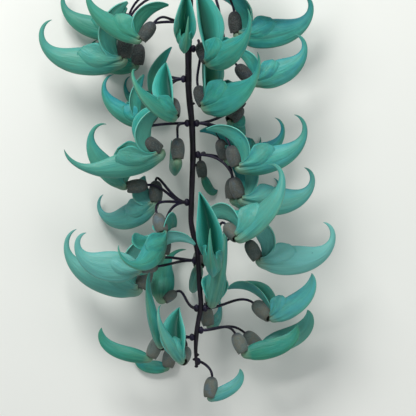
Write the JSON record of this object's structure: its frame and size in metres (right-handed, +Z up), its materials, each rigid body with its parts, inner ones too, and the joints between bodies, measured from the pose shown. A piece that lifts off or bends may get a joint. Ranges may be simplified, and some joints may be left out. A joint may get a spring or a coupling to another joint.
{
  "type": "jade vine",
  "caption": "Hanging cluster of claw-shaped turquoise flowers on a dark stem, cut and laid on its back.",
  "frame": {"origin": "the middle of the bounding box in X and Y, on the surface that the cluster lies on", "axes": "+Y along the stem towards its cut end, +Z up from the surface, +X to the right seen from above"},
  "size_m": [0.2552, 0.3948, 0.1391],
  "materials": {
    "stem": "smooth, near-black aubergine",
    "stalk": "mealy grey-brown calyx on dark stalks",
    "petal": "waxy turquoise petal"
  },
  "bodies": {
    "root": {"stem": "stem", "stalk_cluster_01": "stalk", "stalk_cluster_02": "stalk", "stalk_cluster_03": "stalk", "stalk_cluster_04": "stalk", "stalk_cluster_05": "stalk", "stalk_cluster_06": "stalk", "stalk_cluster_07": "stalk", "stalk_cluster_08": "stalk", "stalk_cluster_09": "stalk", "stalk_cluster_10": "stalk", "stalk_cluster_11": "stalk", "stalk_cluster_12": "stalk", "stalk_cluster_13": "stalk", "stalk_cluster_14": "stalk", "stalk_cluster_15": "stalk", "stalk_cluster_16": "stalk", "corolla_01": "petal", "corolla_02": "petal", "corolla_03": "petal", "corolla_04": "petal", "corolla_05": "petal", "corolla_06": "petal", "corolla_07": "petal", "corolla_08": "petal", "corolla_09": "petal", "corolla_10": "petal", "corolla_11": "petal", "corolla_12": "petal", "corolla_13": "petal", "corolla_14": "petal", "corolla_15": "petal", "corolla_16": "petal", "corolla_17": "petal", "corolla_18": "petal", "corolla_19": "petal", "corolla_20": "petal", "corolla_21": "petal", "corolla_22": "petal", "corolla_23": "petal", "corolla_24": "petal", "corolla_25": "petal", "corolla_26": "petal", "corolla_27": "petal", "corolla_28": "petal", "corolla_29": "petal", "corolla_30": "petal", "corolla_31": "petal", "corolla_32": "petal", "corolla_33": "petal", "corolla_34": "petal", "corolla_35": "petal", "corolla_36": "petal", "corolla_37": "petal", "corolla_38": "petal", "corolla_39": "petal", "corolla_40": "petal", "corolla_41": "petal", "corolla_42": "petal"}
  },
  "joints": []
}
